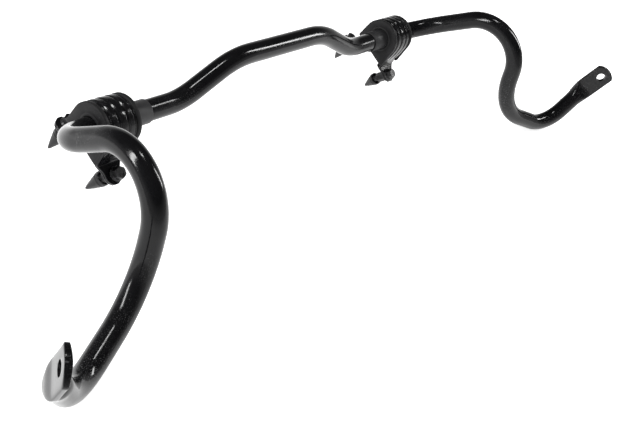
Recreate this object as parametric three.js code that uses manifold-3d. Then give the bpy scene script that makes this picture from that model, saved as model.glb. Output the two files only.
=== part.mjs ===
// Sway bar with two bushing brackets. Millimetres, +Z up.
// +X runs along the bar. The part lies on Z = 0: the low bends of the two arms and the tips of the
// two front guide cones touch the floor. The origin is the centre of the footprint's bounding box.
import * as THREE from 'three';
import { mergeVertices } from 'three/addons/utils/BufferGeometryUtils.js';
import Module from 'manifold-3d';

const wasm = await Module();
wasm.setup();

// ---- driving dimensions ----
const AXIS_Y = 90.9;                    // bushing axis, from the middle of the footprint
const AXIS_Z = 86.9;                    // bushing axis, above the floor

const TUBE_RADIUS = 12;
const TUBE_SIDES = 24;
const BEND_STEP = 11 * Math.PI / 180;   // turn between two sections of a bend

// Half of the bar's centreline, as the corners of a bent polyline measured from the bushing axis,
// each with the radius it is bent to.
const CENTRE_CRANK = { at: [84, 2, 36], bend: 120 };
const CRANK_FOOT = { at: [163, 0, 0], bend: 96 };
const ARM_ROOT = { at: [340.5, 0, 0], bend: 58 };
const ARM_CREST = { at: [353, -150, 104.5], bend: 55 };
const ARM_DROP = { at: [361.5, -162.5, -51], bend: 75 };
const ARM_TOE = { at: [469.5, -205.5, -83], bend: 53 };
const PLATE_ROOT = { at: [513.5, -222.5, -18], bend: 40 };
const EYE_CENTRE = [521, -236, 12];

// Flattened eye at each end of the bar.
const PLATE_NORMAL = [0.82, 0.57, 0.06];
const PLATE_WIDTH = 33;
const PLATE_THICKNESS = 6;
const PLATE_BEYOND_EYE = 15.5;          // eye centre to the crown of the plate's end
const PLATE_END_RADIUS = 24;
const EYE_HOLE_RADIUS = 6.4;
const FLAT_STARTS = 24;                 // before the eye centre, along the plate
const ROUND_ENDS = 54;                  // before the eye centre, where the tube is still round
const CRUSH_SECTIONS = 7;

// Bushing and bracket, in a frame on the bar's axis: z away from the feet, y towards the rear.
// The right-hand bracket is built and the left-hand one mirrored from it, so +X is outboard.
const BRACKET_X = 264.6;
const BRACKET_SLIDE = -3.1;             // both bushings sit this far along the bar from symmetric
const BRACKET_LEAN = 26 * Math.PI / 180;
const BLOCK_LENGTH = 46;
const BLOCK_BASE = 24;                  // bar axis down to the flat base
const FRONT_BASE = 30.5;                // base corners, from the bar's axis
const REAR_BASE = 25.5;
const LIP_RADIUS = 26.6;
const LIP_LENGTH = 5.5;
const LIP_HEIGHT = 4.2;                 // lips stand this far over the strap's seat
const BORE_RADIUS = 13.7;
const LINER_INNER = 12.3;
const LINER_OUTER = 13.3;
const LINER_INBOARD = 29;               // liner's reach beyond the block's inner face
const LINER_OUTBOARD_END = 18.5;        // liner's outer end, from the block's middle

const SHEET = 2.2;
const SHEET_GAP = 0.3;
const STRAP_HALF_WIDTH = 16.5;
const RIB_HEIGHT = 1.7;
const EDGE_LIP = 0.9;
const BASE_PLATE_HALF_WIDTH = 15.5;
// Creases across the strap, as shares of its half width.
const CENTRE_RIB_SHARE = 0.27;
const SIDE_RIB_START = 0.44;
const SIDE_RIB_END = 0.84;
const EDGE_SHARE = 0.9;
const RIB_FLANK = 0.035;                // half of a rib's sloping side, as the same share
const RIBS_START = 34;                  // ribs rise over this stretch from the ears' ends
const RIBS_FULL = 50;
const STRIP_STEP = 12;                  // longest straight stretch between two sections

// Feet: the strap ear's upper face at its bolt, the ear's slope, the leg above it and the height
// of its nut.
const FRONT_FOOT = {
  side: -1, y: 42.5, z: -33.4, tilt: 19 * Math.PI / 180, leg: 28, nut: 12.5,
};
const REAR_FOOT = { side: 1, y: 33.4, z: -56, tilt: 8 * Math.PI / 180, leg: 21, nut: 6 };
const BOLT_X = -3.2;                    // bolts sit a little inboard of the block's middle
const JOGGLE_LOW = -36;                 // rear leg steps in under the block down to here
const EAR_RADIUS = 10.5;
const EAR_BEND = 5;
const EAR_TIP_CUT = 0.3;
const EAR_TIP_HALF_WIDTH = 3;
const EAR_GROWS_FROM = 2;               // ear widens to its leg over this stretch past the bolt
const EAR_GROWS_TO = 16;
const LEG_GAP = 2.6;                    // clear space between strap leg and base plate leg

const BOLT_RADIUS = 3.9;
const EAR_HOLE_RADIUS = 4.6;
const EAR_HOLE_SIDES = 20;
const HEAD_FLANGE_RADIUS = 8.2;
const HEAD_FLANGE_HEIGHT = 3;
const HEAD_HEX_FLATS = 12;
const HEAD_HEIGHT = 9;
const NUT_FLATS = 12;
const SHANK_BEYOND_NUT = 7;
const CONE_TILT_SHARE = 0.45;           // guide cones hang straighter than their bolts,
const CONE_LEAN = 12 * Math.PI / 180;   // and lean outboard towards their tips
const CONE_DROP = 4;                    // nut's lower face to the cone's mouth
const CONE_RADIUS = 8.6;
const CONE_TIP_RADIUS = 1.2;
const CONE_BELLY_SHARE = 0.62;          // the cone's radius halfway, as a share of its mouth's
const CONE_RIM = 4;                     // straight wall below the mouth
const CONE_LENGTH = 27.6;
const CONE_BORE_RADIUS = 7.2;
const CONE_BORE_DEPTH = 6;
const SEAT_GAP = 0.2;
const SLIVER = 0.02;                    // faces thinner than this are merged after drilling

// ---- small helpers ----
const vec = (a) => new THREE.Vector3(a[0], a[1], a[2]);
const mirrorX = (v) => new THREE.Vector3(-v.x, v.y, v.z);

function toSolid(geometry) {
  const plain = geometry.clone();
  plain.deleteAttribute('normal');
  plain.deleteAttribute('uv');
  const merged = mergeVertices(plain, 1e-4);
  return new wasm.Manifold(new wasm.Mesh({
    numProp: 3,
    vertProperties: new Float32Array(merged.attributes.position.array),
    triVerts: new Uint32Array(merged.index.array),
  }));
}

function toGeometry(solid) {
  const mesh = solid.getMesh();
  const geometry = new THREE.BufferGeometry();
  geometry.setAttribute('position', new THREE.BufferAttribute(mesh.vertProperties, 3));
  geometry.setIndex(new THREE.BufferAttribute(mesh.triVerts, 1));
  return geometry;
}

// Walk a polyline with rounded corners: returns { point, tangent } stations.
// corners: [{ at: Vector3, bend }], where the first and last have no bend.
function bentPath(corners, step) {
  const stations = [];
  const first = corners[0].at;
  const firstTangent = corners[1].at.clone().sub(first).normalize();
  stations.push({ point: first.clone(), tangent: firstTangent });
  for (let i = 1; i < corners.length - 1; i += 1) {
    const corner = corners[i].at;
    const into = corner.clone().sub(corners[i - 1].at).normalize();
    const out = corners[i + 1].at.clone().sub(corner).normalize();
    const turn = into.angleTo(out);
    const reach = corners[i].bend * Math.tan(turn / 2);
    const start = corner.clone().addScaledVector(into, -reach);
    const toCentre = out.clone().addScaledVector(into, -out.dot(into)).normalize();
    const centre = start.clone().addScaledVector(toCentre, corners[i].bend);
    const count = Math.max(2, Math.ceil(turn / step));
    for (let k = 0; k <= count; k += 1) {
      const angle = turn * k / count;
      const point = centre.clone()
        .addScaledVector(toCentre, -corners[i].bend * Math.cos(angle))
        .addScaledVector(into, corners[i].bend * Math.sin(angle));
      const tangent = into.clone().multiplyScalar(Math.cos(angle))
        .addScaledVector(toCentre, Math.sin(angle));
      stations.push({ point, tangent });
    }
  }
  const last = corners[corners.length - 1].at;
  const lastTangent = last.clone().sub(corners[corners.length - 2].at).normalize();
  stations.push({ point: last.clone(), tangent: lastTangent });
  return stations;
}

// The station at a distance along the path, counted back from its end.
function stationFromEnd(path, distance) {
  let left = distance;
  for (let k = path.length - 1; k > 0; k -= 1) {
    const step = path[k].point.distanceTo(path[k - 1].point);
    if (step > 0 && left <= step) {
      const mix = left / step;
      return {
        point: path[k].point.clone().lerp(path[k - 1].point, mix),
        tangent: path[k].tangent.clone().lerp(path[k - 1].tangent, mix).normalize(),
      };
    }
    left -= step;
  }
  return path[0];
}

// Triangles that close a convex ring.
function fan(count) {
  return Array.from({ length: count - 2 }, (_, j) => [0, j + 1, j + 2]);
}

// Triangles that close a sheet's end, a ring that runs out along one face and back along the other.
function ladder(count) {
  const triangles = [];
  for (let i = 0; i < count / 2 - 1; i += 1) {
    const back = count - 1 - i;
    triangles.push([i, i + 1, back - 1], [i, back - 1, back]);
  }
  return triangles;
}

// Skin a list of equal rings of Vector3, closed at both ends by the same triangles.
function skin(rings, cap) {
  const count = rings[0].length;
  const positions = [];
  rings.forEach((ring) => ring.forEach((p) => positions.push(p.x, p.y, p.z)));
  const index = [];
  for (let k = 0; k < rings.length - 1; k += 1) {
    for (let j = 0; j < count; j += 1) {
      const a = k * count + j;
      const b = k * count + (j + 1) % count;
      index.push(a, b, a + count);
      index.push(b, b + count, a + count);
    }
  }
  const lastStart = (rings.length - 1) * count;
  cap.forEach(([a, b, c]) => index.push(a, c, b));
  cap.forEach(([a, b, c]) => index.push(lastStart + a, lastStart + b, lastStart + c));
  const geometry = new THREE.BufferGeometry();
  geometry.setAttribute('position', new THREE.Float32BufferAttribute(positions, 3));
  geometry.setIndex(index);
  return geometry;
}

// Turn a skin inside out when its volume comes out negative.
function outward(geometry) {
  const p = geometry.attributes.position;
  const index = geometry.index.array;
  const [a, b, c] = [new THREE.Vector3(), new THREE.Vector3(), new THREE.Vector3()];
  let volume = 0;
  for (let i = 0; i < index.length; i += 3) {
    a.fromBufferAttribute(p, index[i]);
    b.fromBufferAttribute(p, index[i + 1]);
    c.fromBufferAttribute(p, index[i + 2]);
    volume += a.dot(b.cross(c));
  }
  if (volume < 0) {
    for (let i = 0; i < index.length; i += 3) {
      const swap = index[i];
      index[i] = index[i + 1];
      index[i + 1] = swap;
    }
  }
  return geometry;
}

const lathe = (points, sides) => new THREE.LatheGeometry(
  points.map(([r, y]) => new THREE.Vector2(r, y)), sides);

// Solid of revolution about +Z.
const turned = (points, sides) => toSolid(lathe(points, sides).rotateX(Math.PI / 2));

function hexPrism(flats, low, high) {
  const geometry = new THREE.CylinderGeometry(
    flats / Math.sqrt(3), flats / Math.sqrt(3), high - low, 6);
  geometry.rotateX(Math.PI / 2);
  geometry.translate(0, 0, (low + high) / 2);
  return toSolid(geometry);
}

// ---- bar ----
// One section: round at flat = 0, crushed to the plate at flat = 1.
function barRing(station, flat) {
  const normal = vec(PLATE_NORMAL);
  const across = normal.clone().addScaledVector(station.tangent, -normal.dot(station.tangent));
  across.normalize();
  const side = new THREE.Vector3().crossVectors(station.tangent, across);
  const halfThick = THREE.MathUtils.lerp(TUBE_RADIUS, PLATE_THICKNESS / 2, flat);
  const halfWide = THREE.MathUtils.lerp(TUBE_RADIUS, PLATE_WIDTH / 2, flat);
  const power = 2 / THREE.MathUtils.lerp(2, 5, flat);
  const ring = [];
  for (let j = 0; j < TUBE_SIDES; j += 1) {
    const angle = 2 * Math.PI * (j + 0.5) / TUBE_SIDES;
    const c = Math.cos(angle);
    const s = Math.sin(angle);
    ring.push(station.point.clone()
      .addScaledVector(across, halfThick * Math.sign(c) * Math.abs(c) ** power)
      .addScaledVector(side, halfWide * Math.sign(s) * Math.abs(s) ** power));
  }
  return ring;
}

function plateFrame() {
  const eye = vec(EYE_CENTRE);
  const along = eye.clone().sub(vec(PLATE_ROOT.at)).normalize();
  const normal = vec(PLATE_NORMAL);
  normal.addScaledVector(along, -normal.dot(along)).normalize();
  const wide = new THREE.Vector3().crossVectors(along, normal);
  return { eye, along, normal, wide };
}

function barGeometry() {
  const { eye, along, normal, wide } = plateFrame();
  const reach = PLATE_END_RADIUS;
  const corners = [
    { at: new THREE.Vector3(0, CENTRE_CRANK.at[1], CENTRE_CRANK.at[2]) },
    ...[CENTRE_CRANK, CRANK_FOOT, ARM_ROOT, ARM_CREST, ARM_DROP, ARM_TOE, PLATE_ROOT]
      .map((corner) => ({ at: vec(corner.at), bend: corner.bend })),
    { at: eye.clone().addScaledVector(along, reach) },
  ];
  const stations = bentPath(corners, BEND_STEP);
  const fine = bentPath(corners, BEND_STEP / 6);
  const round = stations.filter((s) => eye.distanceTo(s.point) > ROUND_ENDS);
  const rings = round.map((s) => barRing(s, 0));
  for (let k = 1; k <= CRUSH_SECTIONS; k += 1) {
    const share = k / CRUSH_SECTIONS;
    const distance = THREE.MathUtils.lerp(ROUND_ENDS, FLAT_STARTS, share);
    const station = stationFromEnd(fine, reach + distance);
    rings.push(barRing(station, THREE.MathUtils.smoothstep(share, 0, 1)));
  }
  rings.push(barRing(stations[stations.length - 1], 1));
  const mirrored = rings.slice(1).reverse().map((ring) => ring.map(mirrorX));
  const all = [...mirrored, ...rings];
  let bar = toSolid(outward(skin(all, fan(TUBE_SIDES))));
  const basis = new THREE.Matrix4().makeBasis(wide, along, normal).setPosition(eye);
  // What is cut off: the stretch beyond the crown, outside the end's own arc, and the eye.
  const stock = new THREE.BoxGeometry(PLATE_WIDTH * 2, PLATE_END_RADIUS * 3, PLATE_THICKNESS * 4);
  stock.translate(0, PLATE_END_RADIUS * 1.5, 0);
  const crown = new THREE.CylinderGeometry(
    PLATE_END_RADIUS, PLATE_END_RADIUS, PLATE_THICKNESS * 6, 72);
  crown.rotateX(Math.PI / 2);
  crown.translate(0, PLATE_BEYOND_EYE - PLATE_END_RADIUS, 0);
  const hole = new THREE.CylinderGeometry(
    EYE_HOLE_RADIUS, EYE_HOLE_RADIUS, PLATE_THICKNESS * 4, 32);
  hole.rotateX(Math.PI / 2);
  const trim = toSolid(stock).subtract(toSolid(crown)).add(toSolid(hole));
  const trimGeometry = toGeometry(trim).applyMatrix4(basis);
  bar = bar.subtract(toSolid(trimGeometry));
  const otherSide = outward(trimGeometry.clone().scale(-1, 1, 1));
  return toGeometry(bar.subtract(toSolid(otherSide)));
}

// ---- bushing ----
// The wall from a base corner up to where it touches the dome, as the corner where the wall
// meets the dome's crown. side is -1 for the front and +1 for the rear.
function blockWall(side, offset) {
  const radius = LIP_RADIUS + offset;
  const baseY = (side < 0 ? FRONT_BASE : REAR_BASE) + offset;
  const distance = Math.hypot(baseY, BLOCK_BASE);
  const slope = Math.tan(Math.asin(radius / distance) - Math.atan2(baseY, BLOCK_BASE));
  const yAt = (z) => side * (baseY + slope * (z + BLOCK_BASE));
  return { radius, yAt, shoulder: new THREE.Vector3(0, yAt(radius), radius) };
}

function blockShape(offset) {
  const front = blockWall(-1, offset);
  const rear = blockWall(1, offset);
  const path = bentPath([
    { at: new THREE.Vector3(0, front.yAt(-BLOCK_BASE), -BLOCK_BASE) },
    { at: front.shoulder, bend: front.radius },
    { at: rear.shoulder, bend: rear.radius },
    { at: new THREE.Vector3(0, rear.yAt(-BLOCK_BASE), -BLOCK_BASE) },
  ], Math.PI / 15);
  return path.map((s) => new THREE.Vector2(s.point.y, s.point.z));
}

// Extrude a (y, z) outline along X.
function alongX(points, low, high) {
  const geometry = new THREE.ExtrudeGeometry(
    new THREE.Shape(points), { depth: high - low, bevelEnabled: false, curveSegments: 1 });
  const turn = new THREE.Matrix4().makeBasis(
    new THREE.Vector3(0, 1, 0), new THREE.Vector3(0, 0, 1), new THREE.Vector3(1, 0, 0));
  geometry.applyMatrix4(turn);
  geometry.translate(low, 0, 0);
  return toSolid(geometry);
}

function boreSolid(radius, low, high, sides) {
  const geometry = new THREE.CylinderGeometry(radius, radius, high - low, sides);
  geometry.rotateZ(Math.PI / 2);
  geometry.translate((low + high) / 2, 0, 0);
  return toSolid(geometry);
}

function bushingGeometry() {
  const half = BLOCK_LENGTH / 2;
  const solid = alongX(blockShape(-LIP_HEIGHT), -half + 1, half - 1)
    .add(alongX(blockShape(0), -half, -half + LIP_LENGTH))
    .add(alongX(blockShape(0), half - LIP_LENGTH, half));
  return toGeometry(solid.subtract(boreSolid(BORE_RADIUS, -half - 1, half + 1, 32)));
}

function linerGeometry() {
  const low = -BLOCK_LENGTH / 2 - LINER_INBOARD;
  const sleeve = boreSolid(LINER_OUTER, low, LINER_OUTBOARD_END, 32);
  return toGeometry(sleeve.subtract(boreSolid(LINER_INNER, low - 1, LINER_OUTBOARD_END + 1, 32)));
}

// ---- feet ----
// Directions of a foot: along its ear and square to it.
function footFrame(foot) {
  const along = new THREE.Vector3(0, foot.side * Math.cos(foot.tilt), -Math.sin(foot.tilt));
  const up = new THREE.Vector3(0, foot.side * Math.sin(foot.tilt), Math.cos(foot.tilt));
  return { along, up };
}

// Places a bolt-frame piece: +Z up the bolt, origin on the strap ear's upper face.
function boltMatrix(foot) {
  const { along, up } = footFrame(foot);
  return new THREE.Matrix4()
    .makeBasis(new THREE.Vector3().crossVectors(along, up), along, up)
    .setPosition(BOLT_X, foot.side * foot.y, foot.z);
}

// ---- sheet-metal strap and base plate ----
// A strip laid along a (y, z) path. shares are the positions of its creases across its half
// width; heightAt gives each one's height over the path before it fades out near the ears.
function stripGeometry(corners, shares, heightAt, widthAt, fadeAt) {
  const bends = bentPath(corners, Math.PI / 10);
  const stations = [bends[0]];
  for (let k = 1; k < bends.length; k += 1) {
    const last = bends[k - 1];
    const extra = Math.floor(bends[k].point.distanceTo(last.point) / STRIP_STEP);
    for (let i = 1; i <= extra; i += 1) {
      const mix = i / (extra + 1);
      stations.push({
        point: last.point.clone().lerp(bends[k].point, mix),
        tangent: last.tangent.clone().lerp(bends[k].tangent, mix).normalize(),
      });
    }
    if (bends[k].point.distanceTo(last.point) > 0.05) {
      stations.push(bends[k]);
    }
  }
  const lengths = [0];
  for (let k = 1; k < stations.length; k += 1) {
    lengths.push(lengths[k - 1] + stations[k].point.distanceTo(stations[k - 1].point));
  }
  const total = lengths[lengths.length - 1];
  const rings = stations.map((station, k) => {
    const fromEnd = Math.min(lengths[k], total - lengths[k]);
    const halfWidth = widthAt(fromEnd);
    const fade = fadeAt(fromEnd);
    const upper = shares.map((share) => [share * halfWidth, SHEET + fade * heightAt(share)]);
    const lower = shares.map((share) => [share * halfWidth, fade * heightAt(share)]).reverse();
    const up = new THREE.Vector3(0, -station.tangent.z, station.tangent.y);
    return [...upper, ...lower].map(([x, h]) => new THREE.Vector3(x, 0, 0)
      .add(station.point).addScaledVector(up, h));
  });
  return outward(skin(rings, ladder(rings[0].length)));
}

// Corner and end of an ear whose lower face is 'drop' under the strap ear's upper face.
function earCorners(foot, drop, legY) {
  const { along, up } = footFrame(foot);
  const onFace = new THREE.Vector3(0, foot.side * foot.y, foot.z).addScaledVector(up, -drop);
  const run = (onFace.y - foot.side * legY) / along.y;
  const bend = onFace.clone().addScaledVector(along, -run);
  const end = onFace.clone().addScaledVector(along, EAR_RADIUS - EAR_TIP_CUT);
  return { bend, end };
}

// Half width of an ear, measured from its free end: a round tab that widens to the leg.
function tabWidth(fromEnd, legHalfWidth) {
  const toBolt = EAR_RADIUS - fromEnd;
  if (toBolt > 0) {
    return Math.sqrt(Math.max(EAR_RADIUS ** 2 - toBolt ** 2, EAR_TIP_HALF_WIDTH ** 2));
  }
  const grow = THREE.MathUtils.smoothstep(-toBolt, EAR_GROWS_FROM, EAR_GROWS_TO);
  return THREE.MathUtils.lerp(EAR_RADIUS, legHalfWidth, grow);
}

function drillEars(geometry) {
  let solid = toSolid(geometry);
  [FRONT_FOOT, REAR_FOOT].forEach((foot) => {
    const drill = new THREE.CylinderGeometry(
      EAR_HOLE_RADIUS, EAR_HOLE_RADIUS, EAR_BEND * 3, EAR_HOLE_SIDES);
    drill.rotateX(Math.PI / 2);
    drill.applyMatrix4(boltMatrix(foot));
    solid = solid.subtract(toSolid(drill)).simplify(SLIVER);
  });
  return toGeometry(solid);
}

const HALF_SHARES = [
  ...[CENTRE_RIB_SHARE, SIDE_RIB_START, SIDE_RIB_END]
    .flatMap((share) => [share - RIB_FLANK, share + RIB_FLANK]),
  1,
];
const RIB_SHARES = [...HALF_SHARES.map((share) => -share).reverse(), ...HALF_SHARES];

function ribHeight(share) {
  const s = Math.abs(share);
  if (s > EDGE_SHARE) {
    return EDGE_LIP * (s - EDGE_SHARE) / (1 - EDGE_SHARE);
  }
  return s < CENTRE_RIB_SHARE || (s > SIDE_RIB_START && s < SIDE_RIB_END) ? RIB_HEIGHT : 0;
}

function strapGeometry() {
  const offset = SHEET_GAP - LIP_HEIGHT;
  const front = blockWall(-1, offset);
  const rear = blockWall(1, offset);
  const frontEar = earCorners(FRONT_FOOT, SHEET, FRONT_FOOT.leg);
  const rearEar = earCorners(REAR_FOOT, SHEET, REAR_FOOT.leg);
  const corners = [
    { at: frontEar.end },
    { at: frontEar.bend, bend: EAR_BEND },
    { at: new THREE.Vector3(0, front.yAt(-BLOCK_BASE), -BLOCK_BASE), bend: EAR_BEND },
    { at: front.shoulder, bend: front.radius },
    { at: rear.shoulder, bend: rear.radius },
    { at: new THREE.Vector3(0, rear.yAt(-BLOCK_BASE), -BLOCK_BASE), bend: EAR_BEND },
    { at: new THREE.Vector3(0, REAR_FOOT.leg, JOGGLE_LOW), bend: EAR_BEND },
    { at: rearEar.bend, bend: EAR_BEND },
    { at: rearEar.end },
  ];
  const fade = (fromEnd) => THREE.MathUtils.smoothstep(fromEnd, RIBS_START, RIBS_FULL);
  return drillEars(stripGeometry(corners, RIB_SHARES, ribHeight,
    (l) => tabWidth(l, STRAP_HALF_WIDTH), fade));
}

function basePlateGeometry() {
  const drop = 2 * SHEET + SHEET_GAP;
  const frontLeg = FRONT_FOOT.leg - SHEET - LEG_GAP;
  const rearLeg = REAR_FOOT.leg - SHEET - LEG_GAP;
  const frontEar = earCorners(FRONT_FOOT, drop, frontLeg);
  const rearEar = earCorners(REAR_FOOT, drop, rearLeg);
  const shelfZ = -BLOCK_BASE - SHEET - SHEET_GAP;
  const corners = [
    { at: frontEar.end },
    { at: frontEar.bend, bend: EAR_BEND - SHEET },
    { at: new THREE.Vector3(0, -frontLeg, shelfZ), bend: EAR_BEND - SHEET },
    { at: new THREE.Vector3(0, rearLeg, shelfZ), bend: EAR_BEND - SHEET },
    { at: rearEar.bend, bend: EAR_BEND - SHEET },
    { at: rearEar.end },
  ];
  return drillEars(stripGeometry(corners, [-1, 1], () => 0,
    (l) => tabWidth(l, BASE_PLATE_HALF_WIDTH), () => 0));
}

// ---- fasteners, in the bolt frame ----
const NUT_TOP = -(2 * SHEET + SHEET_GAP + SEAT_GAP);
const nutBottom = (foot) => NUT_TOP - foot.nut;

function boltGeometry(foot) {
  const shankEnd = nutBottom(foot) - SHANK_BEYOND_NUT;
  const shank = turned([
    [0, shankEnd], [BOLT_RADIUS - 1, shankEnd], [BOLT_RADIUS, shankEnd + 1],
    [BOLT_RADIUS, SEAT_GAP], [HEAD_FLANGE_RADIUS, SEAT_GAP],
    [HEAD_FLANGE_RADIUS, SEAT_GAP + HEAD_FLANGE_HEIGHT * 0.5],
    [HEAD_HEX_FLATS / 2, SEAT_GAP + HEAD_FLANGE_HEIGHT],
    [0, SEAT_GAP + HEAD_FLANGE_HEIGHT],
  ], 24);
  return toGeometry(shank.add(hexPrism(HEAD_HEX_FLATS, SEAT_GAP + 1, SEAT_GAP + HEAD_HEIGHT)));
}

function nutGeometry(foot) {
  const bottom = nutBottom(foot);
  const bore = turned([
    [0, bottom - 1], [BOLT_RADIUS + 0.3, bottom - 1],
    [BOLT_RADIUS + 0.3, NUT_TOP + 1], [0, NUT_TOP + 1],
  ], 24);
  return toGeometry(hexPrism(NUT_FLATS, bottom, NUT_TOP).subtract(bore));
}

// A hollow-topped cone, its mouth's centre at the origin.
function coneGeometry() {
  return toGeometry(turned([
    [0, -CONE_LENGTH], [CONE_TIP_RADIUS, -CONE_LENGTH],
    [CONE_RADIUS * CONE_BELLY_SHARE, -CONE_LENGTH * 0.55], [CONE_RADIUS, -CONE_RIM],
    [CONE_RADIUS, 0], [CONE_BORE_RADIUS, 0],
    [CONE_BORE_RADIUS, -CONE_BORE_DEPTH], [0, -CONE_BORE_DEPTH],
  ], 28));
}

// Cones hang from the end of their bolt on a direction of their own.
function coneMatrix(foot) {
  const { along, up } = footFrame({ ...foot, tilt: foot.tilt * CONE_TILT_SHARE });
  const axis = up.multiplyScalar(Math.cos(CONE_LEAN))
    .add(new THREE.Vector3(-Math.sin(CONE_LEAN), 0, 0));
  const mouth = new THREE.Vector3(0, 0, nutBottom(foot) - CONE_DROP).applyMatrix4(boltMatrix(foot));
  return new THREE.Matrix4()
    .makeBasis(new THREE.Vector3().crossVectors(along, axis), along, axis)
    .setPosition(mouth);
}

// ---- assembly ----
const group = new THREE.Group();
group.name = 'sway_bar';

function add(name, geometry, color, metalness, roughness) {
  const material = new THREE.MeshStandardMaterial({ color, metalness, roughness });
  material.name = name;
  const mesh = new THREE.Mesh(geometry, material);
  mesh.name = name;
  group.add(mesh);
}

const PAINT = 0x0b0b0c;
const STEEL = 0x1b1b1d;
const RUBBER = 0x202021;

const bar = barGeometry();
bar.translate(0, AXIS_Y, AXIS_Z);
add('bar', bar, PAINT, 0.1, 0.2);

[['left', -1], ['right', 1]].forEach(([sideName, side]) => {
  const place = (geometry) => {
    const placed = geometry.clone();
    placed.rotateX(BRACKET_LEAN);
    placed.scale(side, 1, 1);
    placed.translate(side * BRACKET_X + BRACKET_SLIDE, AXIS_Y, AXIS_Z);
    return outward(placed);
  };
  add(`${sideName}_liner`, place(linerGeometry()), RUBBER, 0, 0.7);
  add(`${sideName}_bushing`, place(bushingGeometry()), RUBBER, 0, 0.8);
  add(`${sideName}_strap`, place(strapGeometry()), PAINT, 0.2, 0.25);
  add(`${sideName}_base_plate`, place(basePlateGeometry()), PAINT, 0.2, 0.3);
  [['front', FRONT_FOOT], ['rear', REAR_FOOT]].forEach(([end, foot]) => {
    const onBolt = (geometry) => place(geometry.clone().applyMatrix4(boltMatrix(foot)));
    const onCone = (geometry) => place(geometry.clone().applyMatrix4(coneMatrix(foot)));
    add(`${sideName}_${end}_bolt`, onBolt(boltGeometry(foot)), STEEL, 0.6, 0.4);
    add(`${sideName}_${end}_nut`, onBolt(nutGeometry(foot)), STEEL, 0.6, 0.4);
    add(`${sideName}_${end}_cone`, onCone(coneGeometry()), STEEL, 0.1, 0.5);
  });
});

export default group;
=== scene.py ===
import math

import bpy
from mathutils import Matrix, Vector


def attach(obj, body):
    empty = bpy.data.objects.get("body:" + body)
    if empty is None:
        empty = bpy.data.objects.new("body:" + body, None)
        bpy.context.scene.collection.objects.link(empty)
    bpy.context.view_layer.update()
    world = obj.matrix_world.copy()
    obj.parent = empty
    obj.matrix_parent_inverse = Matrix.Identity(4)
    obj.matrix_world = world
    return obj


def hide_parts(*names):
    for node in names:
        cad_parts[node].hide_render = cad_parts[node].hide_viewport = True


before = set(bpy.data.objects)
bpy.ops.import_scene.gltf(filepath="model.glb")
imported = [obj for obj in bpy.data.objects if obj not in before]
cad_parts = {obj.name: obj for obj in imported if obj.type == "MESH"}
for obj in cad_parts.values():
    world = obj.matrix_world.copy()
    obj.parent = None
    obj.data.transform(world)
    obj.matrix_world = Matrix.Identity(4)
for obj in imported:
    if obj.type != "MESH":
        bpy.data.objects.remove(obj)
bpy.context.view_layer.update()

# ---- dimensions in metres; most repeat the CAD source, a few are finer here ----
AXIS = Vector((0, 0.0909, 0.0869))          # bushing axis over the middle of the footprint
TUBE_RADIUS = 0.012
CENTRE_START = (0, 0.002, 0.036)
BAR_CORNERS = (                             # centreline corners from the bushing axis, bend radius
    ((0.084, 0.002, 0.036), 0.120),
    ((0.163, 0, 0), 0.096),
    ((0.3405, 0, 0), 0.058),
    ((0.353, -0.150, 0.1045), 0.055),
    ((0.3615, -0.1625, -0.051), 0.075),
    ((0.4695, -0.2055, -0.083), 0.053),
    ((0.5135, -0.2225, -0.018), 0.040),
)
EYE = Vector((0.521, -0.236, 0.012))
PLATE_NORMAL = Vector((0.82, 0.57, 0.06))
PLATE_HALF_WIDTH = 0.0165
PLATE_HALF_THICK = 0.003
CROWN_RADIUS = 0.024
CROWN_REACH = 0.0155
EYE_HOLE_RADIUS = 0.0064
EYE_CUTTER_HALF = 0.012
EYE_EDGE_ROUNDING = 0.0006
FLAT_STARTS = 0.024
ROUND_ENDS = 0.054

BRACKET_X = 0.2646
BRACKET_SLIDE = -0.0031
BRACKET_LEAN = math.radians(26)
BLOCK_HALF = 0.023
BLOCK_BASE = 0.024
FRONT_BASE = 0.0305
REAR_BASE = 0.0255
LIP_RADIUS = 0.0266
LIP_LENGTH = 0.0055
LIP_HEIGHT = 0.0042
BLOCK_CORNER = 0.0015
HAIR = 1e-6                                 # keeps two dome bends from meeting exactly
BORE_RADIUS = 0.0137
SEAL_RADIUS = 0.01215
LINER_INNER = 0.0123
LINER_OUTER = 0.0133
LINER_LOW = -0.052
LINER_HIGH = 0.0185

SHEET = 0.0022
SHEET_GAP = 0.0003
STRAP_HALF_WIDTH = 0.0165
BASE_HALF_WIDTH = 0.0155
RIB_HEIGHT = 0.0017
EDGE_LIP = 0.0009
RIB_EDGES = (0.27, 0.44, 0.84)              # shares of the half width where ribs start or stop
EDGE_SHARE = 0.9
RIB_FLANK = 0.045
RIBS_START = 0.034
RIBS_FULL = 0.050

FRONT_FOOT = {"side": -1, "y": 0.0425, "z": -0.0334, "tilt": math.radians(19), "leg": 0.028,
              "nut": 0.0125}
REAR_FOOT = {"side": 1, "y": 0.0334, "z": -0.056, "tilt": math.radians(8), "leg": 0.021,
             "nut": 0.006}
BOLT_X = -0.0032
JOGGLE_LOW = -0.036
EAR_RADIUS = 0.0105
EAR_BEND = 0.005
EAR_TIP_CUT = 0.0003
EAR_TIP_HALF_WIDTH = 0.003
LEG_GAP = 0.0026
BOLT_RADIUS = 0.0039
HEAD_FLANGE_RADIUS = 0.0082
FLANGE_THICK = 0.0014
THREAD_PITCH = 0.00125
THREAD_DEPTH = 0.0006
HEAD_FLATS = 0.012
HEAD_HEIGHT = 0.009
HEX_CROWN_SHARE = 0.955                     # crown circle over the width across flats
HEX_CHAMFER_SLOPE = 1.7
HEX_SIDES = 96
NUT_FLATS = 0.012
SHANK_BEYOND_NUT = 0.007
CONE_TILT_SHARE = 0.45
CONE_LEAN = math.radians(12)
CONE_DROP = 0.004
CONE_RADIUS = 0.0086
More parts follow.
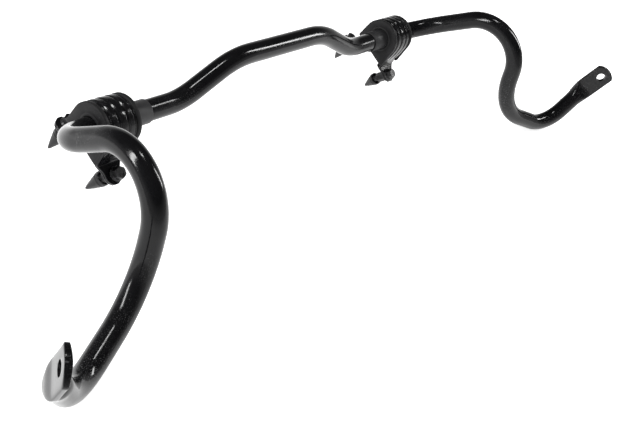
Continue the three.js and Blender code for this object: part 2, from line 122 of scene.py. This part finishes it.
CONE_TIP_RADIUS = 0.0012
CONE_RIM = 0.0005
CONE_LENGTH = 0.0276
CONE_BORE_RADIUS = 0.0072
CONE_BORE_DEPTH = 0.006
SEAT_GAP = 0.0002
NUT_TOP = -(2 * SHEET + SHEET_GAP + SEAT_GAP)

FINE_BEND = math.radians(3)
ROUND_SIDES = 64

FLOOR_HALF = 40
FLOOR_LOW = -0.0003                         # clears the visual model's lowest point by a hair
FLOOR_GLOW = 0.86


# ---- small helpers ----
def smoothstep(value, low, high):
    t = min(1, max(0, (value - low) / (high - low)))
    return t * t * (3 - 2 * t)


def lerp(a, b, t):
    return a + (b - a) * t


def bent_path(corners, step=FINE_BEND):
    """(point, tangent) stations along a polyline whose corners are rounded to a radius."""
    points = [Vector(at) for at, _ in corners]
    stations = [(points[0], (points[1] - points[0]).normalized())]
    for i in range(1, len(points) - 1):
        radius = corners[i][1]
        into = (points[i] - points[i - 1]).normalized()
        out = (points[i + 1] - points[i]).normalized()
        turn = into.angle(out)
        start = points[i] - into * (radius * math.tan(turn / 2))
        inward = (out - into * out.dot(into)).normalized()
        centre = start + inward * radius
        count = max(3, math.ceil(turn / step))
        for k in range(count + 1):
            angle = turn * k / count
            point = centre - inward * (radius * math.cos(angle)) + into * (radius * math.sin(angle))
            stations.append((point, into * math.cos(angle) + inward * math.sin(angle)))
    stations.append((points[-1], (points[-1] - points[-2]).normalized()))
    return stations


def from_end(path, distance):
    """The station at a distance along the path, counted back from its end."""
    for (b, tb), (a, ta) in zip(path[::-1], path[-2::-1]):
        step = (b - a).length
        if step > 0 and distance <= step:
            return b.lerp(a, distance / step), tb.lerp(ta, distance / step).normalized()
        distance -= step
    return path[0]


def densify(stations, longest):
    """Adds stations so that no stretch is longer than the given length."""
    out = [stations[0]]
    for station in stations[1:]:
        last = out[-1]
        gap = (station[0] - last[0]).length
        if gap < 5e-5:
            continue
        for i in range(1, math.floor(gap / longest) + 1):
            mix = i / (math.floor(gap / longest) + 1)
            out.append((last[0].lerp(station[0], mix), last[1].lerp(station[1], mix).normalized()))
        out.append(station)
    return out


def skin(rings, closed=False):
    """Vertices and quads over equal rings; closed joins the last ring to the first."""
    count = len(rings[0])
    verts = [p for ring in rings for p in ring]
    faces = []
    for k in range(len(rings) if closed else len(rings) - 1):
        for j in range(count):
            a, b = k * count + j, k * count + (j + 1) % count
            after = ((k + 1) % len(rings) - k) * count
            faces.append((a, b, b + after, a + after))
    if not closed:
        faces.append(tuple(range(count))[::-1])
        faces.append(tuple(range(len(verts) - count, len(verts))))
    return verts, faces


def lathe(profile, sides=ROUND_SIDES, shape=None):
    """Turns an (r, z) profile about +Z; shape(angle, r, z) may cut the radius, as for a hexagon."""
    rings = []
    for r, z in profile:
        ring = []
        for j in range(sides):
            angle = 2 * math.pi * j / sides
            radius = shape(angle, r, z) if shape else r
            ring.append(Vector((radius * math.cos(angle), radius * math.sin(angle), z)))
        rings.append(ring)
    return rings


def piece(name, parts, body, material, stands_for, matrix=None, sharp=40):
    """A mesh from (vertices, faces) parts, smooth except at sharp edges, riding on a body."""
    verts, faces = [], []
    for part_verts, part_faces in parts:
        faces += [tuple(i + len(verts) for i in face) for face in part_faces]
        verts += [matrix @ v if matrix else v for v in part_verts]
    mesh = bpy.data.meshes.new(name)
    mesh.from_pydata(verts, [], faces)
    mesh.validate()
    obj = bpy.data.objects.new(name, mesh)
    bpy.context.scene.collection.objects.link(obj)
    bpy.context.view_layer.objects.active = obj
    obj.select_set(True)
    bpy.ops.object.mode_set(mode="EDIT")
    bpy.ops.mesh.select_all(action="SELECT")
    bpy.ops.mesh.normals_make_consistent(inside=False)
    bpy.ops.object.mode_set(mode="OBJECT")
    obj.select_set(False)
    for polygon in mesh.polygons:
        polygon.use_smooth = True
    mesh.set_sharp_from_angle(angle=math.radians(sharp))
    mesh.materials.append(material)
    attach(obj, body)
    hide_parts(stands_for)
    return obj


# ---- camera ----
camera_data = bpy.data.cameras.new("camera")
camera_data.sensor_width = 36
camera_data.lens = 53.06
camera_data.clip_start = 0.05
camera = bpy.data.objects.new("camera", camera_data)
camera_right = Vector((0.582, -0.7528, 0.3063))
camera_up = Vector((0.304, 0.5517, 0.7771))
camera_back = Vector((-0.754, -0.3591, 0.5504))
camera.matrix_world = (Matrix.Translation(AXIS + Vector((-0.87893, -0.54641, 0.51131)))
                       @ Matrix((camera_right, camera_up, camera_back)).transposed().to_4x4())
bpy.context.scene.collection.objects.link(camera)
bpy.context.scene.camera = camera


# ---- materials ----
class Shader:
    """A Principled material with a few named helpers for its procedural inputs."""

    def __init__(self, name, color, roughness, metallic=0.0):
        self.material = bpy.data.materials.new(name)
        self.material.use_nodes = True
        self.nodes = self.material.node_tree.nodes
        self.links = self.material.node_tree.links
        self.bsdf = self.nodes["Principled BSDF"]
        self.coords = self.nodes.new("ShaderNodeTexCoord").outputs["Object"]
        self.bsdf.inputs["Base Color"].default_value = (*color, 1)
        self.bsdf.inputs["Roughness"].default_value = roughness
        self.bsdf.inputs["Metallic"].default_value = metallic

    def noise(self, scale, detail=3.0, roughness=0.5):
        node = self.nodes.new("ShaderNodeTexNoise")
        node.inputs["Scale"].default_value = scale
        node.inputs["Detail"].default_value = detail
        node.inputs["Roughness"].default_value = roughness
        self.links.new(self.coords, node.inputs["Vector"])
        return node.outputs["Fac"]

    def ramp(self, value, low, high, out_low=0.0, out_high=1.0):
        node = self.nodes.new("ShaderNodeMapRange")
        for slot, number in zip(("From Min", "From Max", "To Min", "To Max"),
                                (low, high, out_low, out_high)):
            node.inputs[slot].default_value = number
        self.links.new(value, node.inputs["Value"])
        return node.outputs["Result"]

    def math(self, operation, a, b):
        node = self.nodes.new("ShaderNodeMath")
        node.operation = operation
        for socket, value in zip(node.inputs, (a, b)):
            if isinstance(value, (int, float)):
                socket.default_value = value
            else:
                self.links.new(value, socket)
        return node.outputs[0]

    def mix(self, factor, a, b):
        node = self.nodes.new("ShaderNodeMix")
        node.data_type = "RGBA"
        self.links.new(factor, node.inputs["Factor"])
        for socket, value in ((node.inputs[6], a), (node.inputs[7], b)):
            if isinstance(value, tuple):
                socket.default_value = (*value, 1)
            else:
                self.links.new(value, socket)
        return node.outputs[2]

    def bump(self, height, strength, distance, normal=None):
        node = self.nodes.new("ShaderNodeBump")
        node.inputs["Strength"].default_value = strength
        node.inputs["Distance"].default_value = distance
        self.links.new(height, node.inputs["Height"])
        if normal:
            self.links.new(normal, node.inputs["Normal"])
        return node.outputs["Normal"]

    def pointiness(self):
        return self.nodes.new("ShaderNodeNewGeometry").outputs["Pointiness"]

    def set(self, **values):
        for name, value in values.items():
            self.links.new(value, self.bsdf.inputs[name.replace("_", " ")])


def paint(name, color, dust, gloss=(0.16, 0.30), peel=0.10, worn=(0.10, 0.10, 0.105)):
    """Gloss paint: slight orange peel, patchy gloss, fine dust specks and paler worn edges."""
    s = Shader(name, color, gloss[0])
    s.bsdf.inputs["Specular IOR Level"].default_value = 0.22
    cloudy = s.noise(28, 4, 0.6)
    specks = s.ramp(s.noise(1100, 2, 0.6), 0.60, 0.68)
    drift = s.ramp(s.noise(9, 3, 0.6), 0.47, 0.64)
    dusty = s.math("MULTIPLY", specks, s.math("MULTIPLY", drift, dust))
    shade = s.mix(s.ramp(cloudy, 0.35, 0.7), color, tuple(c * 1.7 for c in color))
    edges = s.math("MULTIPLY", s.ramp(s.pointiness(), 0.53, 0.60), s.ramp(s.noise(220, 4), 0.45, 0.6))
    shade = s.mix(s.math("MULTIPLY", edges, 0.55), shade, worn)
    s.set(Base_Color=s.mix(dusty, shade, (0.22, 0.22, 0.225)))
    rough = s.ramp(cloudy, 0.3, 0.7, gloss[0], gloss[1])
    s.set(Roughness=s.math("ADD", rough, s.math("MULTIPLY", dusty, 0.35)))
    peeled = s.bump(s.noise(320, 2), peel, 0.0004)
    s.set(Normal=s.bump(specks, 0.12 * dust, 0.0002, peeled))
    return s.material


def rubber(name, color, gloss=(0.62, 0.85), grain=0.35):
    """Moulded rubber: matte, faintly mottled, with a fine grain and stray pale specks of bloom."""
    s = Shader(name, color, gloss[1])
    s.bsdf.inputs["Specular IOR Level"].default_value = 0.22
    mottle = s.noise(60, 4, 0.6)
    bloom = s.math("MULTIPLY", s.ramp(s.noise(700, 2), 0.68, 0.76), s.ramp(s.noise(45, 2), 0.5, 0.65))
    shade = s.mix(s.ramp(mottle, 0.35, 0.7), color, tuple(c * 1.35 for c in color))
    s.set(Base_Color=s.mix(s.math("MULTIPLY", bloom, 0.5), shade, (0.20, 0.20, 0.205)))
    s.set(Roughness=s.ramp(mottle, 0.3, 0.7, gloss[0], gloss[1]))
    s.set(Normal=s.bump(s.noise(2200, 3), grain, 0.00012))
    return s.material


def steel(name, color, metallic, gloss, worn, pitting=0.25):
    """Coated steel: patchy sheen, tiny pits, and edges rubbed through to brighter metal."""
    s = Shader(name, color, gloss[0], metallic)
    s.bsdf.inputs["Specular IOR Level"].default_value = 0.2
    patch = s.noise(160, 5, 0.65)
    pits = s.ramp(s.noise(1400, 3, 0.6), 0.60, 0.72)
    shade = s.mix(s.ramp(patch, 0.35, 0.68), color, tuple(c * 1.9 for c in color))
    rubbed = s.math("MULTIPLY", s.ramp(s.pointiness(), 0.52, 0.58), s.ramp(s.noise(500, 4), 0.42, 0.6))
    shade = s.mix(s.math("MULTIPLY", rubbed, 0.7), shade, worn)
    s.set(Base_Color=s.mix(s.math("MULTIPLY", pits, 0.5), shade, tuple(c * 2.6 for c in color)))
    s.set(Roughness=s.ramp(patch, 0.3, 0.7, gloss[0], gloss[1]))
    s.set(Normal=s.bump(s.noise(900, 4), pitting, 0.00015))
    return s.material


bar_paint = paint("bar_paint", (0.0040, 0.0040, 0.0044), dust=0.6, gloss=(0.07, 0.16), peel=0.05)
strap_paint = paint("strap_paint", (0.0045, 0.0045, 0.005), dust=0.3, gloss=(0.08, 0.18), peel=0.08)
bushing_rubber = rubber("bushing_rubber", (0.007, 0.007, 0.0075), gloss=(0.5, 0.75))
liner_rubber = rubber("liner_rubber", (0.022, 0.022, 0.023), gloss=(0.42, 0.58), grain=0.12)
fastener_steel = steel("fastener_steel", (0.010, 0.010, 0.0105), 0.3, (0.22, 0.42), (0.13, 0.13, 0.135))
cone_coating = steel("cone_coating", (0.006, 0.006, 0.0065), 0.0, (0.28, 0.48), (0.06, 0.06, 0.064))


# ---- bar ----
def bar_ring(station, flat, half_width=PLATE_HALF_WIDTH):
    """Round at flat = 0, crushed to the eye plate's rounded slab at flat = 1."""
    point, tangent = station
    across = (PLATE_NORMAL - tangent * PLATE_NORMAL.dot(tangent)).normalized()
    side = tangent.cross(across)
    thick = lerp(TUBE_RADIUS, PLATE_HALF_THICK, flat)
    wide = lerp(TUBE_RADIUS, half_width, flat)
    power = 2 / lerp(2, 5.5, flat)
    ring = []
    for j in range(ROUND_SIDES):
        angle = 2 * math.pi * (j + 0.5) / ROUND_SIDES
        c, s = math.cos(angle), math.sin(angle)
        ring.append(AXIS + point + across * (thick * math.copysign(abs(c) ** power, c))
                    + side * (wide * math.copysign(abs(s) ** power, s)))
    return ring


def plate_frame():
    along = (EYE - Vector(BAR_CORNERS[-1][0])).normalized()
    normal = (PLATE_NORMAL - along * PLATE_NORMAL.dot(along)).normalized()
    return along, normal


def build_bar():
    along, normal = plate_frame()
    path = bent_path([(CENTRE_START, 0), *BAR_CORNERS, (EYE + along * CROWN_RADIUS, 0)])
    tube = [s for s in densify(path, 0.02) if (s[0] - EYE).length > ROUND_ENDS]
    rings = [bar_ring(s, 0) for s in tube]
    crush_steps = 18
    for k in range(1, crush_steps + 1):
        share = k / crush_steps
        station = from_end(path, CROWN_RADIUS + lerp(ROUND_ENDS, FLAT_STARTS, share))
        rings.append(bar_ring(station, smoothstep(share, 0, 1)))
    crown_start = math.asin(PLATE_HALF_WIDTH / CROWN_RADIUS)
    crown_centre = CROWN_REACH - CROWN_RADIUS
    for offset in (-0.016, -0.008, 0, 0.004):
        rings.append(bar_ring((EYE + along * offset, along), 1))
    for share in (1, 0.94, 0.86, 0.72, 0.56, 0.4, 0.26, 0.14, 0.05):
        angle = crown_start * share
        offset = crown_centre + CROWN_RADIUS * math.cos(angle)
        half_width = CROWN_RADIUS * math.sin(angle)
        rings.append(bar_ring((EYE + along * offset, along), 1, half_width))
    mirrored = [[Vector((-p.x, p.y, p.z)) for p in ring] for ring in rings[:0:-1]]
    obj = piece("bar_tube", [skin(mirrored + rings)], "bar", bar_paint, "bar", sharp=50)
    for side in (-1, 1):
        punch_eye(obj, side, normal)
    soften = obj.modifiers.new("soft_eye_edges", "BEVEL")
    soften.width = EYE_EDGE_ROUNDING
    soften.segments = 3
    soften.limit_method = "ANGLE"
    soften.angle_limit = math.radians(55)
    return obj


def punch_eye(obj, side, normal):
    """Cuts the link's hole through one eye plate."""
    rings = lathe([(EYE_HOLE_RADIUS, -EYE_CUTTER_HALF), (EYE_HOLE_RADIUS, EYE_CUTTER_HALF)])
    turn = Vector((0, 0, 1)).rotation_difference(normal).to_matrix().to_4x4()
    place = (Matrix.Translation(Vector((0, AXIS.y, AXIS.z))) @ Matrix.Scale(side, 4, (1, 0, 0))
             @ Matrix.Translation(EYE) @ turn)
    verts, faces = skin(rings)
    mesh = bpy.data.meshes.new("eye_cutter")
    mesh.from_pydata([place @ v for v in verts], [], faces if side > 0 else [f[::-1] for f in faces])
    cutter = bpy.data.objects.new("eye_cutter", mesh)
    bpy.context.scene.collection.objects.link(cutter)
    cut = obj.modifiers.new("eye", "BOOLEAN")
    cut.operation = "DIFFERENCE"
    cut.solver = "EXACT"
    cut.object = cutter
    bpy.context.view_layer.objects.active = obj
    bpy.ops.object.modifier_apply(modifier=cut.name)
    bpy.data.objects.remove(cutter)


# ---- bushing ----
def block_wall(side, offset):
    """Radius, and the wall's y at a height, of one side of the block that touches the dome."""
    radius = LIP_RADIUS + offset
    base_y = (FRONT_BASE if side < 0 else REAR_BASE) + offset
    distance = math.hypot(base_y, BLOCK_BASE)
    slope = math.tan(math.asin(radius / distance) - math.atan2(base_y, BLOCK_BASE))
    return radius, lambda z: side * (base_y + slope * (z + BLOCK_BASE))


def block_outline(offset, inset=0.0, count=120):
    """Evenly spaced (y, z) points round the block, grown by offset and shrunk by inset."""
    radius, front = block_wall(-1, offset - inset)
    _, rear = block_wall(1, offset - inset)
    base = -BLOCK_BASE + inset
    middle = (0, 0, base)
    path = bent_path([
        (middle, 0),
        ((0, front(base), base), BLOCK_CORNER),
        ((0, front(radius), radius), radius - HAIR),
        ((0, rear(radius), radius), radius - HAIR),
        ((0, rear(base), base), BLOCK_CORNER),
        (middle, 0),
    ])
    points = [p for p, _ in path]
    lengths = [0]
    for a, b in zip(points, points[1:]):
        lengths.append(lengths[-1] + (b - a).length)
    out, k = [], 0
    for j in range(count):
        want = lengths[-1] * j / count
        while lengths[k + 1] < want:
            k += 1
        gap = lengths[k + 1] - lengths[k]
        out.append(points[k].lerp(points[k + 1], (want - lengths[k]) / gap if gap else 0))
    return out


def build_bushing(side_name, body, matrix):
    seat = -LIP_HEIGHT
    lip_end = BLOCK_HALF - LIP_LENGTH
    sections = [(-BLOCK_HALF, 0, 0.0012), (-BLOCK_HALF + 0.0003, 0, 0.0004), (-BLOCK_HALF + 0.0012, 0, 0),
                (-lip_end - 0.0010, 0, 0), (-lip_end - 0.0002, 0, 0.0008), (-lip_end, seat, 0),
                (lip_end, seat, 0), (lip_end + 0.0002, 0, 0.0008), (lip_end + 0.0010, 0, 0),
                (BLOCK_HALF - 0.0012, 0, 0), (BLOCK_HALF - 0.0003, 0, 0.0004), (BLOCK_HALF, 0, 0.0012)]
    rings = []
    for x, offset, inset in sections:
        rings.append([Vector((x, p.y, p.z)) for p in block_outline(offset, inset)])
    angles = [math.atan2(p.z, p.y) for p in block_outline(0)]

    def bore_ring(x, radius):
        return [Vector((x, radius * math.cos(a), radius * math.sin(a))) for a in angles]

    # a shallow moulded groove rings the bore on each end face
    def face_rings(x, sign, bore):
        return [bore_ring(x, bore + 0.0042), bore_ring(x - sign * 0.0004, bore + 0.0036),
                bore_ring(x - sign * 0.0004, bore + 0.0028), bore_ring(x, bore + 0.0022),
                bore_ring(x, bore + 0.0006), bore_ring(x - sign * 0.0006, bore)]

    # past the liner's outer end the rubber closes in on the bar itself
    rings += face_rings(BLOCK_HALF, 1, SEAL_RADIUS)
    rings += [bore_ring(LINER_HIGH + 0.0012, SEAL_RADIUS), bore_ring(LINER_HIGH + 0.0006, BORE_RADIUS)]
    rings += face_rings(-BLOCK_HALF, -1, BORE_RADIUS)[::-1]
    return piece(f"{side_name}_bushing_rubber", [skin(rings, closed=True)], body,
                 bushing_rubber, f"{side_name}_bushing", matrix, sharp=50)


def build_liner(side_name, body, matrix):
    edge = 0.0003
    profile = [(LINER_INNER, LINER_LOW + edge), (LINER_INNER + edge, LINER_LOW),
               (LINER_OUTER - edge, LINER_LOW), (LINER_OUTER, LINER_LOW + edge),
               (LINER_OUTER, -BLOCK_HALF - 0.0012), (LINER_OUTER, LINER_HIGH - edge),
               (LINER_OUTER - edge, LINER_HIGH), (LINER_INNER + edge, LINER_HIGH),
               (LINER_INNER, LINER_HIGH - edge)]
    along_x = Matrix(((0, 0, 1, 0), (1, 0, 0, 0), (0, 1, 0, 0), (0, 0, 0, 1)))
    return piece(f"{side_name}_liner_sleeve", [skin(lathe(profile), closed=True)], body,
                 liner_rubber, f"{side_name}_liner", matrix @ along_x, sharp=60)


# ---- sheet metal ----
def foot_frame(foot, tilt=None):
    angle = foot["tilt"] if tilt is None else tilt
    along = Vector((0, foot["side"] * math.cos(angle), -math.sin(angle)))
    up = Vector((0, foot["side"] * math.sin(angle), math.cos(angle)))
    return along, up


def bolt_matrix(foot):
    along, up = foot_frame(foot)
    turn = Matrix((along.cross(up), along, up)).transposed().to_4x4()
    return Matrix.Translation((BOLT_X, foot["side"] * foot["y"], foot["z"])) @ turn


def ear_corners(foot, drop, leg_y):
    """Bend and free end of an ear whose lower face is drop under the strap ear's upper face."""
    along, up = foot_frame(foot)
    on_face = Vector((0, foot["side"] * foot["y"], foot["z"])) - up * drop
    bend = on_face - along * ((on_face.y - foot["side"] * leg_y) / along.y)
    return bend, on_face + along * (EAR_RADIUS - EAR_TIP_CUT)


def tab_width(from_tip, leg_half_width):
    to_bolt = EAR_RADIUS - from_tip
    if to_bolt > 0:
        return math.sqrt(max(EAR_RADIUS ** 2 - to_bolt ** 2, EAR_TIP_HALF_WIDTH ** 2))
    return lerp(EAR_RADIUS, leg_half_width, smoothstep(-to_bolt, 0.002, 0.016))


def rib_height(share):
    """Pressed height over the sheet at a share of the half width: centre rib, side rib, edge lip."""
    s = abs(share)
    centre_edge, side_start, side_end = RIB_EDGES
    centre = 1 - smoothstep(s, centre_edge - RIB_FLANK, centre_edge + RIB_FLANK)
    side = (smoothstep(s, side_start - RIB_FLANK, side_start + RIB_FLANK)
            - smoothstep(s, side_end - RIB_FLANK, side_end + RIB_FLANK))
    lip = EDGE_LIP * smoothstep(s, EDGE_SHARE, 1)
    crown = 0.12 * RIB_HEIGHT
    return (RIB_HEIGHT + crown * (1 - (s / centre_edge) ** 2)) * centre + RIB_HEIGHT * side + lip


def strip(corners, half_width, ribbed):
    """A closed sheet laid along a (y, z) path, with softly rounded long edges."""
    stations = densify(bent_path(corners, math.radians(5)), 0.003)
    lengths = [0]
    for (a, _), (b, _) in zip(stations, stations[1:]):
        lengths.append(lengths[-1] + (b - a).length)
    shares = [k / 45 for k in range(-45, 46)]
    edge = 0.0006
    rings = []
    for (point, tangent), length in zip(stations, lengths):
        tip = min(length, lengths[-1] - length)
        width = tab_width(tip, half_width)
        fade = smoothstep(tip, RIBS_START, RIBS_FULL) if ribbed else 0
        up = Vector((0, -tangent.z, tangent.y))
        inner = width - edge
        lip = fade * EDGE_LIP
        rim = [(width - edge * 0.3, SHEET * 0.93 + lip), (width, SHEET * 0.7 + lip),
               (width, SHEET * 0.3 + lip), (width - edge * 0.3, SHEET * 0.07 + lip)]
        outline = [(share * inner, SHEET + fade * rib_height(share)) for share in shares]
        outline += rim
        outline += [(share * inner, fade * rib_height(share)) for share in shares[::-1]]
        outline += [(-x, h) for x, h in rim[::-1]]
        rings.append([Vector((x, 0, 0)) + point + up * h for x, h in outline])
    return skin(rings)


def strap_corners():
    offset = SHEET_GAP - LIP_HEIGHT
    radius, front = block_wall(-1, offset)
    _, rear = block_wall(1, offset)
    front_bend, front_end = ear_corners(FRONT_FOOT, SHEET, FRONT_FOOT["leg"])
    rear_bend, rear_end = ear_corners(REAR_FOOT, SHEET, REAR_FOOT["leg"])
    return [
        (front_end, 0),
        (front_bend, EAR_BEND),
        ((0, front(-BLOCK_BASE), -BLOCK_BASE), EAR_BEND),
        ((0, front(radius), radius), radius - HAIR),
        ((0, rear(radius), radius), radius - HAIR),
        ((0, rear(-BLOCK_BASE), -BLOCK_BASE), EAR_BEND),
        ((0, REAR_FOOT["leg"], JOGGLE_LOW), EAR_BEND),
        (rear_bend, EAR_BEND),
        (rear_end, 0),
    ]


def base_corners():
    drop = 2 * SHEET + SHEET_GAP
    front_leg = FRONT_FOOT["leg"] - SHEET - LEG_GAP
    rear_leg = REAR_FOOT["leg"] - SHEET - LEG_GAP
    front_bend, front_end = ear_corners(FRONT_FOOT, drop, front_leg)
    rear_bend, rear_end = ear_corners(REAR_FOOT, drop, rear_leg)
    shelf = -BLOCK_BASE - SHEET - SHEET_GAP
    bend = EAR_BEND - SHEET
    return [(front_end, 0), (front_bend, bend), ((0, -front_leg, shelf), bend),
            ((0, rear_leg, shelf), bend), (rear_bend, bend), (rear_end, 0)]


# ---- fasteners ----
def hex_radius(flats, crown_low, crown_high, z_low, z_high):
    """Radius of a hexagon whose corners are turned down to a circle towards each end."""
    def radius(angle, _, z):
        corner = (angle + math.pi / 6) % (math.pi / 3) - math.pi / 6
        across = flats / 2 / math.cos(corner)
        turned = min(crown_high + HEX_CHAMFER_SLOPE * (z_high - z),
                     crown_low + HEX_CHAMFER_SLOPE * (z - z_low))
        return min(across, turned)
    return radius


def hex_solid(flats, low, high, bore=None, steps=14):
    """A chamfered hexagonal prism, with a hole through it when bore is given."""
    full = flats / 2 * HEX_CROWN_SHARE
    shape = hex_radius(flats, full, full, low, high)
    shares = [(1 - math.cos(math.pi * k / steps)) / 2 for k in range(steps + 1)]
    profile = [(flats, lerp(low, high, share)) for share in shares]
    rings = lathe(profile, HEX_SIDES, shape)
    inner_low = lathe([(full * 0.97, low), (bore or full * 0.55, low)], HEX_SIDES)
    inner_high = lathe([(full * 0.97, high), (bore or full * 0.55, high)], HEX_SIDES)
    if bore:
        return skin([inner_low[1], inner_low[0], *rings, inner_high[0], inner_high[1]], closed=True)
    dished = lathe([(full * 0.5, high - 0.0004), (full * 0.1, high - 0.0004)], HEX_SIDES)
    return skin([inner_low[1], inner_low[0], *rings, inner_high[0], inner_high[1], *dished])


def build_bolt(name, body, matrix, node, foot):
    shank_end = NUT_TOP - foot["nut"] - SHANK_BEYOND_NUT
    root = BOLT_RADIUS - THREAD_DEPTH
    turns = int((NUT_TOP - shank_end) / THREAD_PITCH)
    profile = [(BOLT_RADIUS * 0.35, shank_end), (root - 0.0003, shank_end)]
    for k in range(turns):
        z = shank_end + (k + 0.15) * THREAD_PITCH
        profile += [(root, z), (BOLT_RADIUS, z + THREAD_PITCH * 0.42),
                    (BOLT_RADIUS, z + THREAD_PITCH * 0.55)]
    flange = SEAT_GAP + FLANGE_THICK
    profile += [(BOLT_RADIUS, NUT_TOP + 0.001), (BOLT_RADIUS, SEAT_GAP - 0.0001),
                (HEAD_FLANGE_RADIUS - 0.0008, SEAT_GAP), (HEAD_FLANGE_RADIUS - 0.0002, SEAT_GAP + 0.0001),
                (HEAD_FLANGE_RADIUS, SEAT_GAP + 0.0005), (HEAD_FLANGE_RADIUS, flange - 0.0002),
                (HEAD_FLANGE_RADIUS - 0.0003, flange + 0.0001),
                (HEAD_FLATS / 2 + 0.0006, SEAT_GAP + 0.0028),
                (HEAD_FLATS / 2 * 0.6, SEAT_GAP + 0.003)]
    head = hex_solid(HEAD_FLATS, SEAT_GAP + 0.0012, SEAT_GAP + HEAD_HEIGHT)
    return piece(name, [skin(lathe(profile)), head], body, fastener_steel, node,
                 matrix, sharp=35)


def build_nut(name, body, matrix, node, foot):
    solid = hex_solid(NUT_FLATS, NUT_TOP - foot["nut"], NUT_TOP, BOLT_RADIUS + 0.0003)
    return piece(name, [solid], body, fastener_steel, node, matrix, sharp=30)


def cone_matrix(foot):
    along, up = foot_frame(foot, foot["tilt"] * CONE_TILT_SHARE)
    axis = (up * math.cos(CONE_LEAN) + Vector((-math.sin(CONE_LEAN), 0, 0))).normalized()
    across = along.cross(axis).normalized()
    mouth = bolt_matrix(foot) @ Vector((0, 0, NUT_TOP - foot["nut"] - CONE_DROP))
    turn = Matrix((across, axis.cross(across), axis)).transposed().to_4x4()
    return Matrix.Translation(mouth) @ turn


def build_cone(name, body, matrix, node):
    """A hollow guide cone with bulging sides, a rolled rim and a shallow waist groove."""
    tip = CONE_TIP_RADIUS
    rim = CONE_RIM
    profile = [(tip * 0.3, -CONE_LENGTH), (tip * 0.8, -CONE_LENGTH + 0.0002),
               (tip, -CONE_LENGTH + 0.0007)]
    steps = 22
    for k in range(1, steps + 1):
        share = k / steps
        radius = lerp(tip, CONE_RADIUS, share ** 0.86)
        profile.append((radius, lerp(-CONE_LENGTH + 0.0007, -0.004, share)))
    profile += [(CONE_RADIUS - 0.0003, -0.0034), (CONE_RADIUS - 0.0003, -0.0030), (CONE_RADIUS, -0.0024),
                (CONE_RADIUS, -rim), (CONE_RADIUS - rim * 0.4, 0), (CONE_BORE_RADIUS + rim * 0.4, 0),
                (CONE_BORE_RADIUS, -rim), (CONE_BORE_RADIUS, -CONE_BORE_DEPTH + rim),
                (CONE_BORE_RADIUS - rim, -CONE_BORE_DEPTH), (CONE_BORE_RADIUS * 0.2, -CONE_BORE_DEPTH)]
    return piece(name, [skin(lathe(profile))], body, cone_coating, node, matrix, sharp=50)


# ---- assembly ----
build_bar()
for side_name, side in (("left", -1), ("right", 1)):
    body = f"{side_name}_bracket"
    place = (Matrix.Translation((side * BRACKET_X + BRACKET_SLIDE, AXIS.y, AXIS.z))
             @ Matrix.Scale(side, 4, (1, 0, 0)) @ Matrix.Rotation(BRACKET_LEAN, 4, "X"))
    build_liner(side_name, body, place)
    build_bushing(side_name, body, place)
    piece(f"{side_name}_strap_sheet", [strip(strap_corners(), STRAP_HALF_WIDTH, True)], body,
          strap_paint, f"{side_name}_strap", place, sharp=60)
    piece(f"{side_name}_base_sheet", [strip(base_corners(), BASE_HALF_WIDTH, False)], body,
          strap_paint, f"{side_name}_base_plate", place, sharp=60)
    for end, foot in (("front", FRONT_FOOT), ("rear", REAR_FOOT)):
        stem = f"{side_name}_{end}"
        at_bolt = place @ bolt_matrix(foot)
        build_bolt(f"{stem}_flange_bolt", body, at_bolt, f"{stem}_bolt", foot)
        build_nut(f"{stem}_hex_nut", body, at_bolt, f"{stem}_nut", foot)
        build_cone(f"{stem}_guide_cone", body, place @ cone_matrix(foot), f"{stem}_cone")


# ---- floor and light ----
def floor():
    mesh = bpy.data.meshes.new("floor")
    corners = ((-1, -1), (1, -1), (1, 1), (-1, 1))
    mesh.from_pydata([(x * FLOOR_HALF, y * FLOOR_HALF, FLOOR_LOW) for x, y in corners],
                     [], [(0, 1, 2, 3)])
    obj = bpy.data.objects.new("floor", mesh)
    s = Shader("floor_paper", (0.93, 0.93, 0.93), 0.9)
    s.bsdf.inputs["Specular IOR Level"].default_value = 0.1
    s.bsdf.inputs["Emission Color"].default_value = (1, 1, 1, 1)
    s.bsdf.inputs["Emission Strength"].default_value = FLOOR_GLOW
    mesh.materials.append(s.material)
    bpy.context.scene.collection.objects.link(obj)


def area_light(name, at, size, power, aim=(0, 0, 0.06)):
    data = bpy.data.lights.new(name, "AREA")
    data.shape = "RECTANGLE"
    data.size, data.size_y = size
    data.energy = power
    obj = bpy.data.objects.new(name, data)
    obj.location = at
    obj.rotation_mode = "QUATERNION"
    obj.rotation_quaternion = (Vector(aim) - Vector(at)).to_track_quat("-Z", "Y")
    bpy.context.scene.collection.objects.link(obj)


floor()
area_light("top_soft", (0.1, 0.2, 2.4), (0.36, 0.24), 9)
area_light("near_strip", (-1.3, 0.5, 0.9), (0.2, 1.0), 22)
area_light("far_strip", (1.3, -0.6, 1.0), (0.18, 1.0), 16)

world = bpy.data.worlds.new("studio")
bpy.context.scene.world = world
world.use_nodes = True
background = world.node_tree.nodes["Background"]
background.inputs["Color"].default_value = (1, 1, 1, 1)
direction = world.node_tree.nodes.new("ShaderNodeTexCoord")
split = world.node_tree.nodes.new("ShaderNodeSeparateXYZ")
walls = world.node_tree.nodes.new("ShaderNodeMapRange")
for socket, number in zip(("From Min", "From Max", "To Min", "To Max"), (0.10, 0.45, 0.75, 0.05)):
    walls.inputs[socket].default_value = number
world.node_tree.links.new(direction.outputs["Generated"], split.inputs["Vector"])
world.node_tree.links.new(split.outputs["Z"], walls.inputs["Value"])
world.node_tree.links.new(walls.outputs["Result"], background.inputs["Strength"])
bpy.context.scene.view_settings.view_transform = "Standard"
